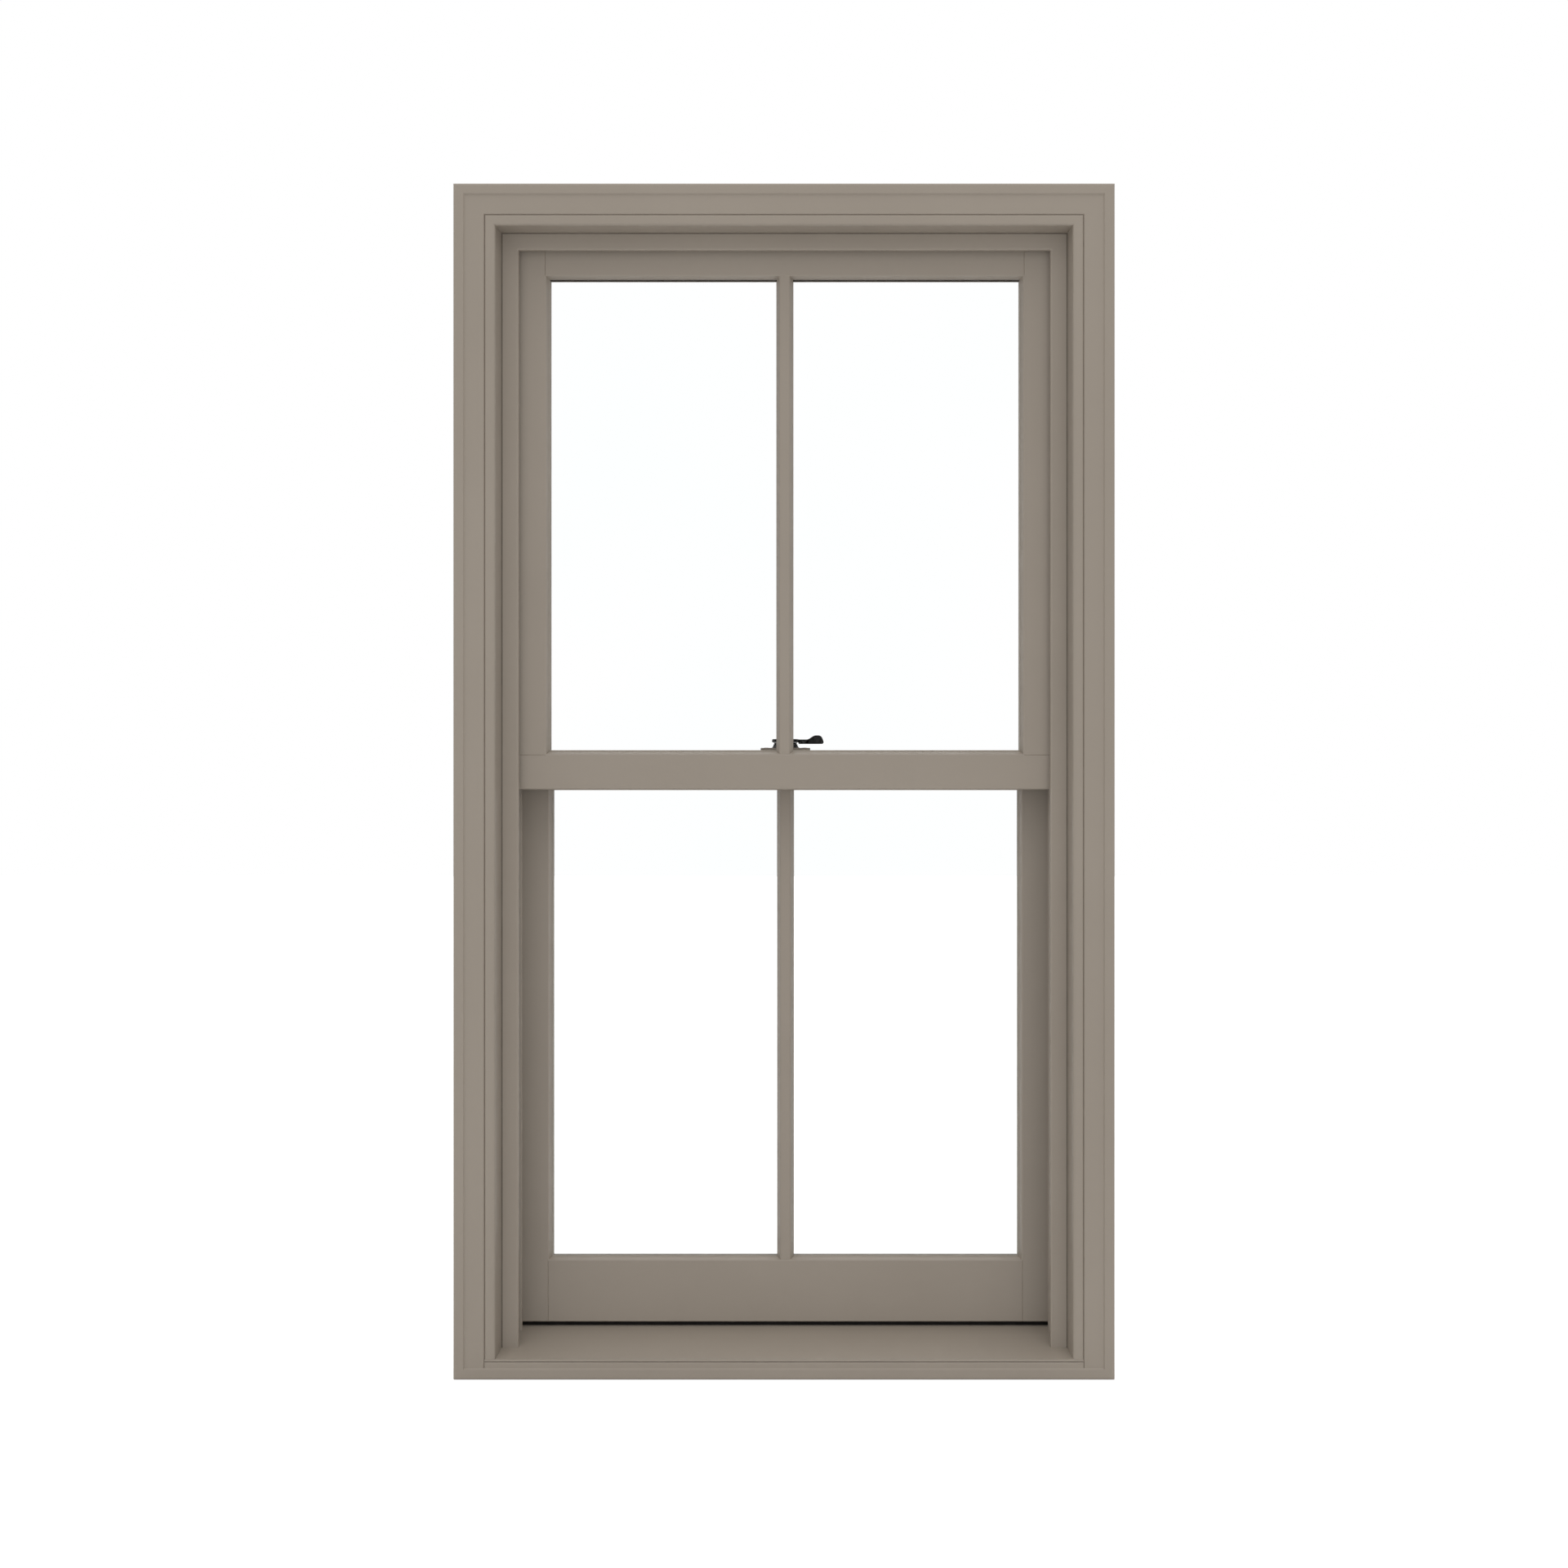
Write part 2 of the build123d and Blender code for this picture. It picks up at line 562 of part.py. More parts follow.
def make_lock():
    """A cast housing with a waisted pedestal, and a lever with a humped knob turning on its pin."""
    place = Pos(LOCK_X, (LOWER_LIP_Y + LOWER_Y + SASH_THICKNESS) / 2, MEETING_TOP)
    pedestal_top = LOCK_BASE_THICKNESS + PEDESTAL_HEIGHT
    hub_low = pedestal_top + RUNNING_GAP
    hub_high = hub_low + HUB_THICKNESS
    base = extrude(RectangleRounded(LOCK_BASE_LENGTH, LOCK_BASE_WIDTH, LOCK_BASE_ROUND), LOCK_BASE_THICKNESS)
    foot = (PEDESTAL_FOOT_RADIUS, LOCK_BASE_THICKNESS)
    shoulder = (PEDESTAL_TOP_RADIUS, pedestal_top)
    pull = 2 * PEDESTAL_WAIST_RADIUS - (PEDESTAL_FOOT_RADIUS + PEDESTAL_TOP_RADIUS) / 2
    side = Bezier(foot, (pull, LOCK_BASE_THICKNESS + PEDESTAL_HEIGHT / 2), shoulder)
    rest = Polyline(shoulder, (0, pedestal_top), (0, LOCK_BASE_THICKNESS), foot)
    pedestal = Rot(90, 0, 0) * revolve(make_face(side + rest), Axis.Y)
    pin = Pos(0, 0, pedestal_top) * extrude(Circle(PIN_RADIUS), hub_high - pedestal_top)
    housing = base + pedestal + pin

    hub = Pos(0, 0, hub_low) * extrude(Circle(HUB_RADIUS), HUB_THICKNESS)
    hub = chamfer(hub.edges().group_by(Axis.Z)[-1], HUB_EASE)
    arm_top = hub_high - HUB_EASE / 2
    arm_low = hub_low - ARM_DROP
    crown = arm_low + KNOB_HEIGHT
    side = outline([
        (0, hub_low, 0),
        (HUB_RADIUS + ARM_DROP, hub_low, 0),
        (HUB_RADIUS + 2 * ARM_DROP, arm_low, 0),
        (LEVER_REACH, arm_low, TIP_ROUND),
        (LEVER_REACH - KNOB_TAPER, crown, KNOB_ROUND),
        (KNOB_START, crown, NECK_ROUND),
        (NECK_REACH, arm_top, NECK_ROUND),
        (0, arm_top, 0),
    ])
    half_plan = [
        (0, ARM_WIDTH / 2, 0),
        (NECK_REACH, NECK_WIDTH / 2, NECK_ROUND),
        (KNOB_START, KNOB_WIDTH / 2, NECK_ROUND),
        (LEVER_REACH, KNOB_WIDTH / 2, KNOB_ROUND),
    ]
    plan = outline(half_plan + [(x, -y, size) for x, y, size in reversed(half_plan)])
    arm = extrude(Plane.XZ * side, KNOB_WIDTH, both=True)
    arm &= Pos(0, 0, arm_low) * extrude(plan, KNOB_HEIGHT, dir=(0, 0, 1))
    bore = Pos(0, 0, hub_low) * extrude(Circle(PIN_RADIUS + PIN_CLEARANCE), HUB_THICKNESS)
    lever = hub + arm - bore
    return {"lock_housing": place * housing, "lock_lever": place * lever}


os.makedirs("parts", exist_ok=True)
window = {
    **make_casing(),
    **make_frame(),
    **make_tracks(),
    **make_upper_sash(),
    **make_lower_sash(),
    **make_lock(),
}
for node, shape in window.items():
    export_step(shape, f"parts/{node}.step")
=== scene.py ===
"""Dresses the double hung window: satin taupe paint, clear sealed glass, pile strips,
thin gaskets and a black sash lock, in the plain white studio light of the photograph.
"""

from math import cos, pi, radians, sin

import bmesh
import bpy
from mathutils import Matrix, Vector


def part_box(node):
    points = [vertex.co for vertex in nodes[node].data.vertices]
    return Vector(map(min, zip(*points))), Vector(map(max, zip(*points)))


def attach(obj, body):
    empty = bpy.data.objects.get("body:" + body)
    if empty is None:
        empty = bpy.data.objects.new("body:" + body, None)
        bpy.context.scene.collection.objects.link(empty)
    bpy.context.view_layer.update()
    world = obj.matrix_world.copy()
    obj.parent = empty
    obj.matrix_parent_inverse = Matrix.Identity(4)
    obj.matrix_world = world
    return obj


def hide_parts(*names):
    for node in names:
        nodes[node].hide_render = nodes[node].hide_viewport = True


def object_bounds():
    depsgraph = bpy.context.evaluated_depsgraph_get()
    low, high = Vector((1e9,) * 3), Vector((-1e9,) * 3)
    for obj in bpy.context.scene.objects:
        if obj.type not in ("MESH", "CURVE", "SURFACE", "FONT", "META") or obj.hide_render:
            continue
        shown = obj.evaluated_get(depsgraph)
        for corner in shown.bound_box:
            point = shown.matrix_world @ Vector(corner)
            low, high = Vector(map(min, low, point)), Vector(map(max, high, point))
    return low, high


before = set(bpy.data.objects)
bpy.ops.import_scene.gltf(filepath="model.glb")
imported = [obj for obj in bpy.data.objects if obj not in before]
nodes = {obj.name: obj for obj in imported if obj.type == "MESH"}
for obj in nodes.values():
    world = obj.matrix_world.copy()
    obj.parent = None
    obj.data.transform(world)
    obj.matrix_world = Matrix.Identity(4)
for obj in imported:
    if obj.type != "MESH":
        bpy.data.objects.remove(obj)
cad_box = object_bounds()


# Casing, head, jambs and sill.
# Wooden members, mitred at the head and lapped over the sill, sprayed with a satin taupe
# finish at the works: even in colour, with a fine orange peel and a soft sheen.


def screen_colour(red, green, blue):
    """A colour as a screen shows it, 0 to 255, turned into the linear colour of a shader."""
    linear = []
    for level in (red, green, blue):
        share = level / 255
        linear.append(share / 12.92 if share <= 0.04045 else ((share + 0.055) / 1.055) ** 2.4)
    return (*linear, 1.0)


def add_node(tree, kind, values=None):
    """A new node, with some of its inputs set by name."""
    node = tree.nodes.new(kind)
    for socket, value in (values or {}).items():
        node.inputs[socket].default_value = value
    return node


def cloud(tree, size):
    """Smooth noise over the window's own coordinates, with patches of about a size in metres."""
    place = tree.nodes.new("ShaderNodeTexCoord")
    noise = add_node(tree, "ShaderNodeTexNoise", {"Scale": 1 / size, "Detail": 2.0})
    tree.links.new(place.outputs["Object"], noise.inputs["Vector"])
    return noise.outputs["Fac"]


CLOUD_LOW = 0.3
CLOUD_HIGH = 0.7


def tint_by(tree, factor, low, high, socket):
    """Runs a colour from low to high with a cloud."""
    ramp = tree.nodes.new("ShaderNodeValToRGB")
    first, last = ramp.color_ramp.elements
    first.position, first.color = CLOUD_LOW, low
    last.position, last.color = CLOUD_HIGH, high
    tree.links.new(factor, ramp.inputs["Fac"])
    tree.links.new(ramp.outputs["Color"], socket)


def range_by(tree, factor, low, high, socket):
    """Runs a number from low to high with a cloud."""
    span = {"From Min": CLOUD_LOW, "From Max": CLOUD_HIGH, "To Min": low, "To Max": high}
    node = add_node(tree, "ShaderNodeMapRange", span)
    tree.links.new(factor, node.inputs["Value"])
    tree.links.new(node.outputs["Result"], socket)


def emboss(tree, factor, depth, shader):
    """Raises the surface by a cloud."""
    bump = add_node(tree, "ShaderNodeBump", {"Strength": 1.0, "Distance": depth})
    tree.links.new(factor, bump.inputs["Height"])
    tree.links.new(bump.outputs["Normal"], shader.inputs["Normal"])


def new_finish(name, values, tints=None, roughness=None, relief=None):
    """A new material with some of its shader's inputs set by name, and the rest in soft patches.

    Each of the last three starts with the size of its patches, in metres. After it come the two
    colours of the tints, the two ends of the roughness, or the depth of the relief.
    """
    material = bpy.data.materials.new(name)
    material.use_nodes = True
    tree = material.node_tree
    shader = tree.nodes["Principled BSDF"]
    for socket, value in values.items():
        shader.inputs[socket].default_value = value
    if tints:
        patch, deep, light = tints
        tint_by(tree, cloud(tree, patch), deep, light, shader.inputs["Base Color"])
    if roughness:
        patch, low, high = roughness
        range_by(tree, cloud(tree, patch), low, high, shader.inputs["Roughness"])
    if relief:
        patch, depth = relief
        emboss(tree, cloud(tree, patch), depth, shader)
    return material


def dress(material, *names):
    """Gives a finish to the window's own pieces."""
    for name in names:
        for slot in nodes[name].material_slots:
            slot.material = material


PAINT_LIGHT = screen_colour(154, 144, 132)
PAINT_DEEP = screen_colour(150, 140, 128)
PAINT_CLOUD = 0.25
SHEEN_CLOUD = 0.05
PEEL_SIZE = 0.0022
PEEL_DEPTH = 0.00003

paint = new_finish(
    "taupe_paint",
    {"Specular IOR Level": 0.4},
    tints=(PAINT_CLOUD, PAINT_DEEP, PAINT_LIGHT),
    roughness=(SHEEN_CLOUD, 0.39, 0.43),
    relief=(PEEL_SIZE, PEEL_DEPTH),
)

SIDES = ("head", "left", "right")
dress(paint, *[f"{side}_casing" for side in SIDES], "sill_casing")
dress(paint, *[f"{side}_jamb" for side in SIDES], "sill")


# Stops and liners.
# The stops are strips with rounded edges nailed round the frame to keep the sashes in line,
# painted with it. The liners between them are smoother, grooved for the sashes to run in.

LINER_LIGHT = screen_colour(148, 138, 126)
LINER_DEEP = screen_colour(142, 132, 120)

liner_skin = new_finish(
    "liner_skin",
    {"Specular IOR Level": 0.35},
    tints=(PAINT_CLOUD, LINER_DEEP, LINER_LIGHT),
    roughness=(SHEEN_CLOUD, 0.34, 0.38),
    relief=(PEEL_SIZE * 2, PEEL_DEPTH),
)

for strip in ("outer_stop", "parting_stop", "inside_stop"):
    dress(paint, *[f"{side}_{strip}" for side in SIDES])
dress(paint, "sill_inside_stop")
dress(liner_skin, *[f"{side}_liner" for side in SIDES])


# Corner sealant.
# A thin run of sealant closes the corner between the outer stops and the frame's reveal,
# drawn round the sides and head with a rounded tool. Its dark colour is painted shade, for
# the shadow that falls in the gap between stop and reveal.

SEALANT_LEG = 0.0013
SEALANT_HOLLOW = 0.3
# Painted shade: the dark of the shadow in the gap between stop and reveal.
SEALANT_SHADE_DARK = screen_colour(100, 92, 82)
SEALANT_SHADE_PALE = screen_colour(110, 102, 92)


def new_piece(name, mesh, material):
    """A new object of one finish, linked to the scene."""
    mesh.materials.append(material)
    piece = bpy.data.objects.new(name, mesh)
    bpy.context.scene.collection.objects.link(piece)
    return piece


def closed_mesh(name, builder):
    """Ends a mesh: doubles merged, edges that bound no face dropped, faces turned outwards."""
    bmesh.ops.remove_doubles(builder, verts=builder.verts, dist=1e-6)
    loose = [edge for edge in builder.edges if not edge.link_faces]
    bmesh.ops.delete(builder, geom=loose, context="EDGES")
    bmesh.ops.recalc_face_normals(builder, faces=builder.faces)
    mesh = bpy.data.meshes.new(name)
    builder.to_mesh(mesh)
    builder.free()
    return mesh


def corner_run(builder, path, face):
    """A small hollow fillet along a path of corner points, given with the way inwards at each."""
    section = ((0, 0), (1, 0), (SEALANT_HOLLOW, SEALANT_HOLLOW), (0, 1))
    rings = []
    for (x, z), (x_way, z_way) in path:
        ring = []
        for inward, forward in section:
            reach, rise = inward * SEALANT_LEG, forward * SEALANT_LEG
            ring.append(builder.verts.new((x + x_way * reach, face - rise, z + z_way * reach)))
        rings.append(ring)
    for ring, following in zip(rings, rings[1:]):
        for side in range(4):
            after = (side + 1) % 4
            builder.faces.new((ring[side], ring[after], following[after], following[side]))
    builder.faces.new(rings[0])
    builder.faces.new(rings[-1])


# The sealant's dark colour is painted shade for the gap between stop and reveal.
shade_sealant = new_finish(
    "corner_sealant",
    {"Specular IOR Level": 0.3},
    tints=(0.04, SEALANT_SHADE_DARK, SEALANT_SHADE_PALE),
    roughness=(0.02, 0.45, 0.6),
    relief=(0.003, 0.00005),
)

stop_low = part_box("left_outer_stop")[0]
reveal_half = -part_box("left_liner")[1].x
reveal_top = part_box("head_liner")[0].z
path = (
    ((-reveal_half, stop_low.z), (1, 0)),
    ((-reveal_half, reveal_top), (1, -1)),
    ((reveal_half, reveal_top), (-1, -1)),
    ((reveal_half, stop_low.z), (-1, 0)),
)
builder = bmesh.new()
corner_run(builder, path, stop_low.y)
shade_sealant_run = new_piece("corner_sealant", closed_mesh("corner_sealant", builder), shade_sealant)
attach(shade_sealant_run, "frame")


# Sash stiles, rails and muntins.
# Two sashes of the same wood and paint: stiles that land on a through check rail, rails
# between them, mitred beads round the glass and a bar coped onto them over each face.

for sash in ("upper", "lower"):
    dress(paint, *[f"{sash}_{piece}" for piece in ("check_rail", "left_stile", "right_stile")])
    dress(paint, f"{sash}_outer_muntin", f"{sash}_inner_muntin")
dress(paint, "upper_top_rail", "lower_bottom_rail")


# Glass.
# Each sash holds a sealed unit of two clear panes, coated so that they hardly mirror, with
# the faint unevenness that float glass keeps. Lamps and soft light pass straight through.

GLASS_TINT = screen_colour(254, 255, 255)
GLASS_CLEAR = screen_colour(255, 255, 255)
GLASS_CLOUD = 0.4


def joined(tree, operation, first, second):
    """Two numbers, each from a socket or given outright, put through one sum."""
    node = tree.nodes.new("ShaderNodeMath")
    node.operation = operation
    for socket, given in zip(node.inputs, (first, second)):
        if isinstance(given, bpy.types.NodeSocket):
            tree.links.new(given, socket)
        else:
            socket.default_value = given
    return node.outputs["Value"]


def choose(tree, factor, first, second, output):
    """Shows the first shader where a factor is 0 and the second where it is 1."""
    choice = tree.nodes.new("ShaderNodeMixShader")
    tree.links.new(factor, choice.inputs["Fac"])
    tree.links.new(first, choice.inputs[1])
    tree.links.new(second, choice.inputs[2])
    tree.links.new(choice.outputs["Shader"], output.inputs["Surface"])


glass = new_finish(
    "clear_float",
    {"Transmission Weight": 1.0, "IOR": 1.12},
    tints=(GLASS_CLOUD, GLASS_TINT, GLASS_CLEAR),
    roughness=(GLASS_CLOUD / 4, 0.0, 0.01),
)
tree = glass.node_tree
rays = tree.nodes.new("ShaderNodeLightPath").outputs
lighting = joined(tree, "MAXIMUM", rays["Is Shadow Ray"], rays["Is Diffuse Ray"])
pane = tree.nodes["Principled BSDF"].outputs["BSDF"]
open_air = tree.nodes.new("ShaderNodeBsdfTransparent").outputs["BSDF"]
choose(tree, lighting, pane, open_air, tree.nodes["Material Output"])
dress(glass, "upper_glass", "lower_glass")


# Glazing gaskets.
# A thin lip pressed between bead and glass, all round both faces of each unit, mitred. It is
# coloured paler than the paint as painted light, for the light that reaches it through the glass.
# Outside, under the top rail, its top run is a deeper lip of rubber coloured dark as painted
# shade, for the shade under the top rail's bead.

SPACER_BEHIND_SIGHT = 0.0065
GASKET_WIDTH = 0.0008
GASKET_RISE = 0.0010
GASKET_SECTION = ((0.0, 0.0), (1.0, 0.0), (0.9, 0.35), (0.5, 0.8), (0.0, 1.0))
# Painted light: paler than the paint, for the light that reaches the gaskets through the glass.
GASKET_LIT_DEEP = screen_colour(172, 163, 151)
GASKET_LIT_PALE = screen_colour(180, 171, 159)
TOP_SHADE_LIP = 0.0018
# Painted shade: the top run's dark colour stands for the shade under the top rail's bead.
LIP_SHADE_DARK = screen_colour(44, 40, 35)
LIP_SHADE_PALE = screen_colour(54, 49, 43)
TOP_RUN = 2


def gasket_ring(builder, low, high, face, outward, top_width=GASKET_WIDTH, top_shade_finish=0):
    """One mitred ring on a pane's face, around the sight line, whose top run can take its own width and
    a painted shade finish.
    """
    corners = []
    for inward, forward in GASKET_SECTION:
        inset = inward * GASKET_WIDTH
        y = face + outward * forward * GASKET_RISE
        x_low, x_high = low.x + inset, high.x - inset
        z_low, z_high = low.z + inset, high.z - inward * top_width
        loop = ((x_low, y, z_low), (x_high, y, z_low), (x_high, y, z_high), (x_low, y, z_high))
        corners.append([builder.verts.new(point) for point in loop])
    for ring, following in zip(corners, corners[1:] + corners[:1]):
        for side in range(4):
            after = (side + 1) % 4
            run = builder.faces.new((ring[side], ring[after], following[after], following[side]))
            run.material_index = top_shade_finish if side == TOP_RUN else 0


gasket_painted_light = new_finish(
    "gasket_painted_light",
    {"Specular IOR Level": 0.2},
    tints=(0.03, GASKET_LIT_DEEP, GASKET_LIT_PALE),
    roughness=(0.02, 0.55, 0.7),
    relief=(0.0008, 0.00002),
)
# The upper sash's outer top run takes this dark lip, painted shade under its top rail.
top_lip_painted_shade = new_finish(
    "top_lip_painted_shade",
    {"Specular IOR Level": 0.15},
    tints=(0.03, LIP_SHADE_DARK, LIP_SHADE_PALE),
    roughness=(0.02, 0.6, 0.7),
)

for sash, top_width, top_shade_finish in (("upper", TOP_SHADE_LIP, 1), ("lower", GASKET_WIDTH, 0)):
    spacer_low, spacer_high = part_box(f"{sash}_spacer")
    pane_low, pane_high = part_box(f"{sash}_glass")
    inset = Vector((SPACER_BEHIND_SIGHT, 0, SPACER_BEHIND_SIGHT))
    builder = bmesh.new()
    gasket_ring(builder, spacer_low + inset, spacer_high - inset, pane_low.y, -1, top_width, top_shade_finish)
    gasket_ring(builder, spacer_low + inset, spacer_high - inset, pane_high.y, 1)
    name = f"{sash}_gaskets"
    gaskets = new_piece(name, closed_mesh(name, builder), gasket_painted_light)
    gaskets.data.materials.append(top_lip_painted_shade)
    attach(gaskets, f"{sash}_sash")


# Spacer bars and their breather holes.
# A hollow aluminium bar runs between the panes behind the beads. Its inner face is pierced
# by a row of pin holes that let the drying beads inside it breathe. The holes are drawn as flat
# dark discs, coloured with painted shade for the dark inside each hole.

HOLE_PITCH = 0.004
HOLE_RADIUS = 0.0005
HOLE_LIFT = 0.00004
HOLE_SIDES = 8
SPACER_HEIGHT = 0.006
SPACER_LIGHT = screen_colour(206, 207, 206)
SPACER_DEEP = screen_colour(186, 188, 189)
HOLE_SHADE_DARK = screen_colour(24, 23, 22)
HOLE_SHADE_PALE = screen_colour(40, 38, 36)

spacer_metal = new_finish(
    "spacer_metal",
    {"Metallic": 1.0},
    tints=(0.06, SPACER_DEEP, SPACER_LIGHT),
    roughness=(0.01, 0.3, 0.42),
    relief=(0.0006, 0.00001),
)
dress(spacer_metal, "upper_spacer", "lower_spacer")

# Painted shade: the dark discs stand in for the shade inside the pin holes.
hole_shade = new_finish("hole_shade", {"Roughness": 0.9}, tints=(0.01, HOLE_SHADE_DARK, HOLE_SHADE_PALE))


def row_tree(name):
    """A node group that stands copies of one piece along lines, facing the way each line says."""
    tree = bpy.data.node_groups.new(name, "GeometryNodeTree")
    sockets = (
        ("Lines", "NodeSocketGeometry"),
        ("Piece", "NodeSocketObject"),
        ("Pitch", "NodeSocketFloat"),
        ("Lean", "NodeSocketFloat"),
        ("Shortest", "NodeSocketFloat"),
        ("Seed", "NodeSocketInt"),
        ("Finish", "NodeSocketMaterial"),
    )
    for label, kind in sockets:
        tree.interface.new_socket(label, in_out="INPUT", socket_type=kind)
    tree.interface.new_socket("Row", in_out="OUTPUT", socket_type="NodeSocketGeometry")
    given = tree.nodes.new("NodeGroupInput").outputs
    result = tree.nodes.new("NodeGroupOutput").inputs["Row"]
    link = tree.links.new

    curve = tree.nodes.new("GeometryNodeMeshToCurve")
    link(given["Lines"], curve.inputs["Mesh"])
    stations = tree.nodes.new("GeometryNodeResampleCurve")
    stations.mode = "LENGTH"
    link(curve.outputs["Curve"], stations.inputs["Curve"])
    link(given["Pitch"], stations.inputs["Length"])

    facing = tree.nodes.new("GeometryNodeInputNamedAttribute")
    facing.data_type = "FLOAT_VECTOR"
    facing.inputs["Name"].default_value = "facing"
    turn = tree.nodes.new("FunctionNodeAlignRotationToVector")
    turn.axis = "Z"
    link(facing.outputs["Attribute"], turn.inputs["Vector"])

    lean = tree.nodes.new("FunctionNodeRandomValue")
    lean.data_type = "FLOAT_VECTOR"
    link(joined(tree, "MULTIPLY", given["Lean"], -1.0), lean.inputs[0])
    link(given["Lean"], lean.inputs[1])
    link(given["Seed"], lean.inputs["Seed"])
    tilt = tree.nodes.new("FunctionNodeEulerToRotation")
    link(lean.outputs[0], tilt.inputs["Euler"])
    leaning = tree.nodes.new("FunctionNodeRotateRotation")
    leaning.rotation_space = "LOCAL"
    link(turn.outputs["Rotation"], leaning.inputs["Rotation"])
    link(tilt.outputs["Rotation"], leaning.inputs["Rotate By"])

    length = tree.nodes.new("FunctionNodeRandomValue")
    length.data_type = "FLOAT"
    link(given["Shortest"], length.inputs[2])
    length.inputs[3].default_value = 1.0
    link(given["Seed"], length.inputs["Seed"])
    size = add_node(tree, "ShaderNodeCombineXYZ", {"X": 1.0, "Y": 1.0})
    link(length.outputs[1], size.inputs["Z"])

    piece = tree.nodes.new("GeometryNodeObjectInfo")
    link(given["Piece"], piece.inputs["Object"])
    copies = tree.nodes.new("GeometryNodeInstanceOnPoints")
    link(stations.outputs["Curve"], copies.inputs["Points"])
    link(piece.outputs["Geometry"], copies.inputs["Instance"])
    link(leaning.outputs["Rotation"], copies.inputs["Rotation"])
    link(size.outputs["Vector"], copies.inputs["Scale"])
    real = tree.nodes.new("GeometryNodeRealizeInstances")
    link(copies.outputs["Instances"], real.inputs["Geometry"])
    finish = tree.nodes.new("GeometryNodeSetMaterial")
    link(real.outputs["Geometry"], finish.inputs["Geometry"])
    link(given["Finish"], finish.inputs["Material"])
    link(finish.outputs["Geometry"], result)
    return tree


row = row_tree("row_of_pieces")


def facing_lines(name, lines):
    """A mesh of loose lines, each given as its start, its end and the way its pieces face."""
    mesh = bpy.data.meshes.new(name)
    points = [point for start, end, _ in lines for point in (start, end)]
    edges = [(2 * index, 2 * index + 1) for index in range(len(lines))]
    mesh.from_pydata(points, edges, [])
    ways = mesh.attributes.new("facing", "FLOAT_VECTOR", "POINT")
    for index, (_, _, way) in enumerate(lines):
        ways.data[2 * index].vector = way
        ways.data[2 * index + 1].vector = way
    return mesh


def plain_mesh(piece):
    """The mesh that a piece's modifiers make."""
    bpy.context.view_layer.update()
    graph = bpy.context.evaluated_depsgraph_get()
    return bpy.data.meshes.new_from_object(piece.evaluated_get(graph))


def stand_along(name, lines, piece, pitch, material, lean=0.0, shortest=1.0, seed=0):
    """Stands copies of a piece along lines and keeps them as one plain mesh."""
    carrier = bpy.data.objects.new(name, facing_lines(name, lines))
    bpy.context.scene.collection.objects.link(carrier)
    modifier = carrier.modifiers.new("row", "NODES")
    modifier.node_group = row
    wanted = {
        "Piece": piece,
        "Pitch": pitch,
        "Lean": lean,
        "Shortest": shortest,
        "Seed": seed,
        "Finish": material,
    }
    for socket in row.interface.items_tree:
        if socket.in_out == "INPUT" and socket.name in wanted:
            modifier[socket.identifier] = wanted[socket.name]
    made = plain_mesh(carrier)
    carrier.modifiers.remove(modifier)
    carrier.data = made
    bpy.data.objects.remove(piece)
    return carrier


def taper(name, foot_radius, tip_radius, height, sides, material):
    """A small closed round piece that stands on Z = 0."""
    builder = bmesh.new()
    bmesh.ops.create_cone(
        builder,
        cap_ends=True,
        segments=sides,
        radius1=foot_radius,
        radius2=tip_radius,
        depth=height,
        matrix=Matrix.Translation((0, 0, height / 2)),
    )
    return new_piece(name, closed_mesh(name, builder), material)


for sash in ("upper", "lower"):
    low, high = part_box(f"{sash}_spacer")
    middle = (low.y + high.y) / 2
    left, right = low.x + SPACER_HEIGHT, high.x - SPACER_HEIGHT
    bottom, top = low.z + SPACER_HEIGHT, high.z - SPACER_HEIGHT
    lines = (
        ((left, middle, bottom), (right, middle, bottom), (0, 0, 1)),
        ((left, middle, top), (right, middle, top), (0, 0, -1)),
        ((left, middle, bottom), (left, middle, top), (1, 0, 0)),
        ((right, middle, bottom), (right, middle, top), (-1, 0, 0)),
    )
    hole = taper("hole", HOLE_RADIUS, HOLE_RADIUS, HOLE_LIFT, HOLE_SIDES, hole_shade)
    holes = stand_along(f"{sash}_spacer_holes", lines, hole, HOLE_PITCH, hole_shade)
    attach(holes, f"{sash}_sash")


# Pile strips.
# Woven strips with a short dense pile, pressed into the stops on the side towards each
# sash, and along the lower check rail's lip. The pile brushes the sash and keeps out draught.

PILE_PITCH = 0.0018
PILE_ROWS = (-0.0012, 0.0, 0.0012)
PILE_ROOT = 0.0008
PILE_SIDES = 3
PILE_LEAN = 0.16
PILE_SHORTEST = 0.85
PILE_CLEARANCE = 0.0004
PILE_FOOT_GAP = 0.006
LIP_END_GAP = 0.010
PILE_DARK = screen_colour(70, 65, 59)
PILE_PALE = screen_colour(96, 89, 81)

pile_yarn = new_finish(
    "pile_yarn",
    {"Roughness": 0.85, "Specular IOR Level": 0.2},
    tints=(0.004, PILE_DARK, PILE_PALE),
)


def pile_strip(name, lines, height, seed):
    """A strip of leaning tufts along lines."""
    tuft = taper("tuft", PILE_ROOT, PILE_ROOT / 3, height, PILE_SIDES, pile_yarn)
    return stand_along(name, lines, tuft, PILE_PITCH, pile_yarn, PILE_LEAN, PILE_SHORTEST, seed)


